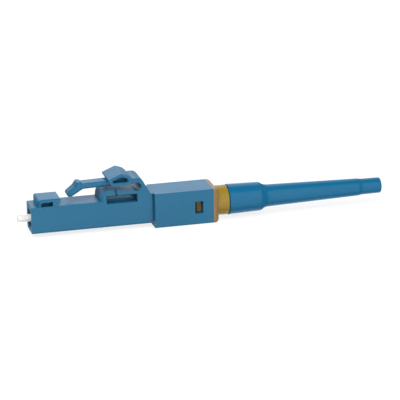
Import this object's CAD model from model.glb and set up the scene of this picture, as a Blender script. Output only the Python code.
"""Looks of the LC fibre connector: materials, moving spring, floor, light and camera."""
import bpy
import math
from mathutils import Matrix, Vector


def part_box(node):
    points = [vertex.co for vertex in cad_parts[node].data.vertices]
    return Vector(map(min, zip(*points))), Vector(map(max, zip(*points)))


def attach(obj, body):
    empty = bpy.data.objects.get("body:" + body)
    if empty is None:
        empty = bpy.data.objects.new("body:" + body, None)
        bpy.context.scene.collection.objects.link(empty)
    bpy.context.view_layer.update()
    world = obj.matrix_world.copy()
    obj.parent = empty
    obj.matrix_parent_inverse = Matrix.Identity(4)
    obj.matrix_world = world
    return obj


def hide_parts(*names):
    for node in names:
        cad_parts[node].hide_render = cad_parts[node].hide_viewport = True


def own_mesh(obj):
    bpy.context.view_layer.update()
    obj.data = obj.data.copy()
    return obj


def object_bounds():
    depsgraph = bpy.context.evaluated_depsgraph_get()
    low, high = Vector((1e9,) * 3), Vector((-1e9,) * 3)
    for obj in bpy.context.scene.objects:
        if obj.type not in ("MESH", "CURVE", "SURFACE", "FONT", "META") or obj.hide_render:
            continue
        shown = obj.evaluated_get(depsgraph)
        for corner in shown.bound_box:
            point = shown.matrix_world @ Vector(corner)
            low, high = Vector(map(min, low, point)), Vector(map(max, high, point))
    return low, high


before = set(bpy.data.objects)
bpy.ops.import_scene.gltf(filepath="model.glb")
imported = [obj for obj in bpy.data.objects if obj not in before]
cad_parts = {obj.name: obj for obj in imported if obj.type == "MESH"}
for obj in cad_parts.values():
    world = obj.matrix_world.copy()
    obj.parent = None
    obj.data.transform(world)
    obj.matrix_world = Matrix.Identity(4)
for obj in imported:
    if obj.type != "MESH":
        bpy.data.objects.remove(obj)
cad_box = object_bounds()

MM = 0.001
CENTRE = (Vector(cad_box[0]) + Vector(cad_box[1])) / 2

# camera on the near side, turned a little towards the ferrule end and raised
VIEW_AZIMUTH = math.radians(-14.31)
VIEW_ELEVATION = math.radians(17.60)
VIEW_ROLL = math.radians(-0.94)
VIEW_DISTANCE = 407.7 * MM
LENS = 221.6
SENSOR = 36.0
AIM_FROM_CENTRE = Vector((-0.195, 0.37, -1.76)) * MM

# colours, linear
BLUE = (0.006, 0.130, 0.250)
BLUE_PALE = (0.009, 0.141, 0.268)
BOOT_BLUE = (0.003, 0.127, 0.262)
BOOT_PALE = (0.005, 0.137, 0.280)
AMBER = (0.33, 0.22, 0.022)
AMBER_PLATE = (0.31, 0.190, 0.070)
AMBER_DEEP = (0.15, 0.095, 0.014)
ZIRCONIA = (0.90, 0.89, 0.86)
ZIRCONIA_WARM = (0.88, 0.87, 0.83)
ZIRCONIA_PALE = (0.93, 0.92, 0.89)
NICKEL = (0.62, 0.60, 0.56)
STEEL = (0.55, 0.56, 0.58)
TUBE_WHITE = (0.80, 0.80, 0.76)
TUBE_DULL = (0.74, 0.74, 0.70)
TUBE_PALE = (0.84, 0.84, 0.80)
COOL_WHITE = (1.02, 1.10, 1.24)
FLOOR_WHITE = (0.86, 0.86, 0.86)

# where the amber's tones start and end, along the connector from the rear housing's rear face
AMBER_REACH = (-1.0 * MM, 1.4 * MM)

# ledge in the tunnel: its ends, measured forward from the rear housing, its sides and its height
LEDGE_FROM_REAR = (8.0 * MM, 2.7 * MM)
LEDGE_Y = (0.58 * MM, 0.78 * MM)
LEDGE_HEIGHT = 0.12 * MM
LEDGE_SUNK = 0.05 * MM

# floor: its half width, how far it lies under the connector, and its glow, which only the camera sees
FLOOR_REACH = 4.0
FLOOR_GAP = 0.01 * MM
FLOOR_GLOW = 1.15
FLOOR_GLOW_SHARE = 0.7

# strength of the surroundings on dull surfaces; to the camera they are plain white
WORLD_LIGHT = 0.62


# ---------------------------------------------------------------- node helpers
def new_material(name, base, roughness, metallic=0.0):
    """Material with a Principled shader, returned with its tree and shader node."""
    material = bpy.data.materials.new(name)
    material.use_nodes = True
    tree = material.node_tree
    shader = tree.nodes["Principled BSDF"]
    shader.inputs["Base Color"].default_value = (*base, 1)
    shader.inputs["Roughness"].default_value = roughness
    shader.inputs["Metallic"].default_value = metallic
    return material, tree, shader


def math_node(tree, operation, *values):
    """Math node whose inputs are sockets or plain numbers; returns its output."""
    node = tree.nodes.new("ShaderNodeMath")
    node.operation = operation
    for socket, value in zip(node.inputs, values):
        if isinstance(value, bpy.types.NodeSocket):
            tree.links.new(value, socket)
        else:
            socket.default_value = value
    return node.outputs["Value"]


def ramp_node(tree, value, from_range, to_range, smooth=False):
    """Map Range node from a socket; returns its output."""
    node = tree.nodes.new("ShaderNodeMapRange")
    node.interpolation_type = "SMOOTHSTEP" if smooth else "LINEAR"
    names = ("From Min", "From Max", "To Min", "To Max")
    for name, number in zip(names, from_range + to_range):
        node.inputs[name].default_value = number
    tree.links.new(value, node.inputs["Value"])
    return node.outputs["Result"]


def axes_of(tree, space):
    """X, Y and Z of a texture coordinate, such as "Object" or "Generated"."""
    place = tree.nodes.new("ShaderNodeTexCoord")
    split = tree.nodes.new("ShaderNodeSeparateXYZ")
    tree.links.new(place.outputs[space], split.inputs["Vector"])
    return [split.outputs[axis] for axis in "XYZ"]


def object_noise(tree, scale, detail, stretch=(1, 1, 1)):
    """Noise in object space, stretched or squeezed along the axes; returns its output."""
    place = tree.nodes.new("ShaderNodeTexCoord")
    mapping = tree.nodes.new("ShaderNodeMapping")
    mapping.inputs["Scale"].default_value = stretch
    noise = tree.nodes.new("ShaderNodeTexNoise")
    noise.inputs["Scale"].default_value = scale
    noise.inputs["Detail"].default_value = detail
    tree.links.new(place.outputs["Object"], mapping.inputs["Vector"])
    tree.links.new(mapping.outputs["Vector"], noise.inputs["Vector"])
    return noise.outputs["Fac"]


def colour_ramp(tree, shader, factor, stops):
    """Base colour from a ramp; stops are (position, colour) pairs, at least two, from low to high."""
    ramp = tree.nodes.new("ShaderNodeValToRGB")
    elements = ramp.color_ramp.elements
    for element, (position, colour) in zip(elements, stops):
        element.position = position
        element.color = (*colour, 1)
    for position, colour in stops[2:]:
        elements.new(position).color = (*colour, 1)
    tree.links.new(factor, ramp.inputs["Fac"])
    tree.links.new(ramp.outputs["Color"], shader.inputs["Base Color"])


def blend_colours(tree, shader, factor, low, high):
    """Base colour that drifts between two tones with a noise."""
    colour_ramp(tree, shader, factor, ((0.35, low), (0.65, high)))


def vary_roughness(tree, shader, factor, low, high):
    """Roughness that drifts between two values with a noise."""
    spread = ramp_node(tree, factor, (0.0, 1.0), (low, high))
    tree.links.new(spread, shader.inputs["Roughness"])


def add_bump(tree, shader, height, strength, distance):
    """Fine relief from a noise."""
    bump = tree.nodes.new("ShaderNodeBump")
    bump.inputs["Strength"].default_value = strength
    bump.inputs["Distance"].default_value = distance
    tree.links.new(height, bump.inputs["Height"])
    tree.links.new(bump.outputs["Normal"], shader.inputs["Normal"])


# ---------------------------------------------------------------- materials
def moulded_blue():
    """Hard moulded housing plastic with a fine spark-eroded grain."""
    material, tree, shader = new_material("moulded_blue", BLUE, 0.3)
    flow = object_noise(tree, scale=90, detail=2, stretch=(0.4, 1, 1))
    blend_colours(tree, shader, flow, BLUE, BLUE_PALE)
    patch = object_noise(tree, scale=260, detail=3)
    vary_roughness(tree, shader, patch, 0.26, 0.40)
    grain = object_noise(tree, scale=5200, detail=2)
    add_bump(tree, shader, grain, strength=0.12, distance=0.02 * MM)
    return material


def soft_blue():
    """Elastomer of the boot: a little smoother, with faint drag marks along it."""
    material, tree, shader = new_material("soft_blue", BOOT_BLUE, 0.2)
    shader.inputs["IOR"].default_value = 1.45
    flow = object_noise(tree, scale=120, detail=2, stretch=(0.25, 1, 1))
    blend_colours(tree, shader, flow, BOOT_BLUE, BOOT_PALE)
    patch = object_noise(tree, scale=300, detail=3, stretch=(0.3, 1, 1))
    vary_roughness(tree, shader, patch, 0.12, 0.22)
    grain = object_noise(tree, scale=2600, detail=2, stretch=(0.35, 1, 1))
    add_bump(tree, shader, grain, strength=0.10, distance=0.02 * MM)
    return material


def amber_plastic():
    """Amber plastic that lets a little light through: deep in the housing, pale plate, yellow collar."""
    material, tree, shader = new_material("amber_plastic", AMBER, 0.3)
    flow = object_noise(tree, scale=150, detail=2)
    plate_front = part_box("rear_housing")[1][0]
    ends = tuple(plate_front + distance for distance in AMBER_REACH)
    along = ramp_node(tree, axes_of(tree, "Object")[0], ends, (0.0, 1.0))
    tone = math_node(tree, "MULTIPLY_ADD", flow, 0.12, along)
    stops = ((0.40, AMBER_DEEP), (0.50, AMBER_PLATE), (0.80, AMBER_PLATE), (0.92, AMBER))
    colour_ramp(tree, shader, tone, stops)
    shader.inputs["Subsurface Weight"].default_value = 0.35
    shader.inputs["Subsurface Radius"].default_value = (1.0, 0.55, 0.15)
    shader.inputs["Subsurface Scale"].default_value = 0.6 * MM
    patch = object_noise(tree, scale=300, detail=3)
    vary_roughness(tree, shader, patch, 0.24, 0.38)
    grain = object_noise(tree, scale=4200, detail=2)
    add_bump(tree, shader, grain, strength=0.08, distance=0.02 * MM)
    return material


def zirconia():
    """Polished ceramic with a faint ground finish round the axis."""
    material, tree, shader = new_material("zirconia", ZIRCONIA, 0.15)
    tone = object_noise(tree, scale=500, detail=2)
    blend_colours(tree, shader, tone, ZIRCONIA_WARM, ZIRCONIA_PALE)
    shader.inputs["Coat Weight"].default_value = 0.4
    shader.inputs["Coat Roughness"].default_value = 0.05
    grinding = object_noise(tree, scale=900, detail=2, stretch=(14, 1, 1))
    add_bump(tree, shader, grinding, strength=0.06, distance=0.01 * MM)
    vary_roughness(tree, shader, grinding, 0.10, 0.22)
    return material


def turned_metal(name, colour, low, high):
    """Metal with fine turning marks round the axis."""
    material, tree, shader = new_material(name, colour, low, 1.0)
    marks = object_noise(tree, scale=1100, detail=3, stretch=(16, 1, 1))
    add_bump(tree, shader, marks, strength=0.15, distance=0.01 * MM)
    vary_roughness(tree, shader, marks, low, high)
    return material


def drawn_wire():
    """Spring wire with fine drawing marks."""
    material, tree, shader = new_material("drawn_wire", STEEL, 0.25, 1.0)
    marks = object_noise(tree, scale=2400, detail=2)
    add_bump(tree, shader, marks, strength=0.1, distance=0.01 * MM)
    vary_roughness(tree, shader, marks, 0.2, 0.38)
    return material


def extruded_white():
    """Natural white tube."""
    material, tree, shader = new_material("extruded_white", TUBE_WHITE, 0.45)
    tone = object_noise(tree, scale=400, detail=2, stretch=(0.2, 1, 1))
    blend_colours(tree, shader, tone, TUBE_DULL, TUBE_PALE)
    return material


# ---------------------------------------------------------------- dressing the pieces
def dress(node, material):
    """Give a CAD node its material."""
    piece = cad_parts[node]
    piece.data.materials.clear()
    piece.data.materials.append(material)


housing_blue = moulded_blue()
for blue_node in ("front_housing", "latch_lever", "rear_housing"):
    dress(blue_node, housing_blue)
dress("boot", soft_blue())
dress("stop_body", amber_plastic())
dress("ferrule", zirconia())
dress("ferrule_flange", turned_metal("turned_nickel", NICKEL, 0.2, 0.36))
dress("crimp_sleeve", turned_metal("plated_sleeve", NICKEL, 0.26, 0.42))
dress("spring", drawn_wire())
dress("guide_tube", extruded_white())


# ---------------------------------------------------------------- added pieces
def add_object(name, data):
    """Object of that name for the mesh, lamp or camera data, put in the scene."""
    thing = bpy.data.objects.new(name, data)
    bpy.context.scene.collection.objects.link(thing)
    return thing


def add_tunnel_ledge():
    """Low ledge on the tunnel's floor, on its far side: it stops the view through groove and tunnel."""
    near, far = LEDGE_Y
    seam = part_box("rear_housing")[0][0]
    x0, x1 = (seam - distance for distance in LEDGE_FROM_REAR)
    # the nose is as high above the axis as it is deep below it, and its top is the tunnel's floor
    floor = -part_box("front_housing")[0][2]
    outline = ((x0, near), (x1, near), (x1, far), (x0, far))
    corners = [(x, y, z) for z in (floor - LEDGE_SUNK, floor + LEDGE_HEIGHT) for x, y in outline]
    faces = [(3, 2, 1, 0), (4, 5, 6, 7), (0, 1, 5, 4), (1, 2, 6, 5), (2, 3, 7, 6), (3, 0, 4, 7)]
    mesh = bpy.data.meshes.new("tunnel_ledge")
    mesh.from_pydata(corners, [], faces)
    mesh.materials.append(housing_blue)
    ledge = add_object("tunnel_ledge", mesh)
    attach(ledge, "housing")


def add_spring_coil():
    """Spring that shortens as the ferrule moves back; it stands for the CAD spring."""
    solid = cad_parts["spring"]
    coil = add_object("spring_coil", solid.data.copy())
    coil.matrix_world = solid.matrix_world
    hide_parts("spring")
    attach(coil, "housing")
    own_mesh(coil)


add_tunnel_ledge()
add_spring_coil()


# ---------------------------------------------------------------- floor, light, camera
def add_floor():
    """Plain white floor under the connector that keeps a soft shadow."""
    z = cad_box[0][2] - FLOOR_GAP
    outline = ((-1, -1), (1, -1), (1, 1), (-1, 1))
    mesh = bpy.data.meshes.new("floor")
    mesh.from_pydata([(x * FLOOR_REACH, y * FLOOR_REACH, z) for x, y in outline], [], [(0, 1, 2, 3)])
    floor = add_object("floor", mesh)
    material, tree, shader = new_material("floor_white", FLOOR_WHITE, 0.9)
    shader.inputs["Specular IOR Level"].default_value = 0.0
    path = tree.nodes.new("ShaderNodeLightPath")
    glow = tree.nodes.new("ShaderNodeEmission")
    glow.inputs["Strength"].default_value = FLOOR_GLOW
    mix = tree.nodes.new("ShaderNodeMixShader")
    share = math_node(tree, "MULTIPLY", path.outputs["Is Camera Ray"], FLOOR_GLOW_SHARE)
    tree.links.new(share, mix.inputs["Fac"])
    tree.links.new(shader.outputs["BSDF"], mix.inputs[1])
    tree.links.new(glow.outputs["Emission"], mix.inputs[2])
    tree.links.new(mix.outputs["Shader"], tree.nodes["Material Output"].inputs["Surface"])
    floor.data.materials.append(material)
    floor.visible_glossy = False


def add_world():
    """White surroundings; in the reflections darker overhead, underneath and to the sides."""
    world = bpy.data.worlds.new("studio")
    bpy.context.scene.world = world
    world.use_nodes = True
    tree = world.node_tree
    back = tree.nodes["Background"]
    path = tree.nodes.new("ShaderNodeLightPath")
    x, y, z = axes_of(tree, "Generated")

    # up and down: dark overhead, dim underneath, and a bounce off the floor behind the connector
    overhead = ramp_node(tree, z, (0.75, 0.93), (1.0, 0.05), smooth=True)
    underneath = ramp_node(tree, z, (-0.90, -0.62), (0.35, 1.0))
    below = ramp_node(tree, z, (-0.70, -0.30), (1.3, 0.0))
    behind = ramp_node(tree, y, (-0.30, 0.20), (0.0, 1.0))
    bounce = math_node(tree, "MULTIPLY", below, behind)
    band = math_node(tree, "MULTIPLY", overhead, math_node(tree, "ADD", underneath, bounce))

    # to the sides: dark wings, and some shade low in front of the nose
    sideways = math_node(tree, "ABSOLUTE", math_node(tree, "SUBTRACT", x, 0.06))
    wings = ramp_node(tree, sideways, (0.18, 0.44), (1.0, 0.1))
    front_low = math_node(tree, "ADD", x, math_node(tree, "MULTIPLY", z, 0.8))
    shade = ramp_node(tree, front_low, (-0.45, -0.15), (0.55, 1.08))
    mirrored = math_node(tree, "MULTIPLY", band, math_node(tree, "MULTIPLY", wings, shade))

    # strength: plain light on the surfaces, the pattern above in reflections, white to the camera
    glossy = tree.nodes.new("ShaderNodeMix")
    glossy.inputs["A"].default_value = WORLD_LIGHT
    tree.links.new(path.outputs["Is Glossy Ray"], glossy.inputs["Factor"])
    tree.links.new(mirrored, glossy.inputs["B"])
    seen = tree.nodes.new("ShaderNodeMix")
    seen.inputs["B"].default_value = 1.0
    tree.links.new(path.outputs["Is Camera Ray"], seen.inputs["Factor"])
    tree.links.new(glossy.outputs["Result"], seen.inputs["A"])
    tree.links.new(seen.outputs["Result"], back.inputs["Strength"])

    # colour: cooler in the reflections of what is behind the connector
    tint = tree.nodes.new("ShaderNodeMix")
    tint.data_type = "RGBA"
    tint.inputs["A"].default_value = (1, 1, 1, 1)
    tint.inputs["B"].default_value = (*COOL_WHITE, 1)
    far = ramp_node(tree, y, (0.0, 0.6), (0.0, 1.0))
    cool = math_node(tree, "MULTIPLY", far, path.outputs["Is Glossy Ray"])
    tree.links.new(cool, tint.inputs["Factor"])
    tree.links.new(tint.outputs["Result"], back.inputs["Color"])


def add_lamp(name, offset, power, size):
    """Square area lamp, offset from the connector's centre, aimed at it, left out of reflections."""
    data = bpy.data.lights.new(name, "AREA")
    data.energy = power
    data.size = size
    lamp = add_object(name, data)
    lamp.visible_glossy = False
    lamp.location = CENTRE + Vector(offset)
    lamp.rotation_euler = (CENTRE - lamp.location).to_track_quat("-Z", "Y").to_euler()


def add_camera():
    """Camera on the photograph's line of sight."""
    turn, level = VIEW_AZIMUTH, math.cos(VIEW_ELEVATION)
    right = Vector((math.cos(turn), math.sin(turn), 0))
    back = Vector((math.sin(turn) * level, -math.cos(turn) * level, math.sin(VIEW_ELEVATION)))
    up = back.cross(right)
    rolled_right = right * math.cos(VIEW_ROLL) + up * math.sin(VIEW_ROLL)
    rolled_up = up * math.cos(VIEW_ROLL) - right * math.sin(VIEW_ROLL)
    place = CENTRE + AIM_FROM_CENTRE + back * VIEW_DISTANCE
    data = bpy.data.cameras.new("camera")
    data.lens = LENS
    data.sensor_width = SENSOR
    data.clip_start = 0.01
    camera = add_object("camera", data)
    facing = Matrix((rolled_right, rolled_up, back)).transposed().to_4x4()
    camera.matrix_world = Matrix.Translation(place) @ facing
    bpy.context.scene.camera = camera


add_floor()
add_world()
add_lamp("key", (-0.20, -0.25, 0.45), power=1.6, size=0.35)
add_lamp("fill", (0.25, -0.45, 0.20), power=0.7, size=0.5)
add_lamp("back", (0.05, 0.50, 0.06), power=1.5, size=0.4)
add_camera()
bpy.context.scene.view_settings.view_transform = "Standard"
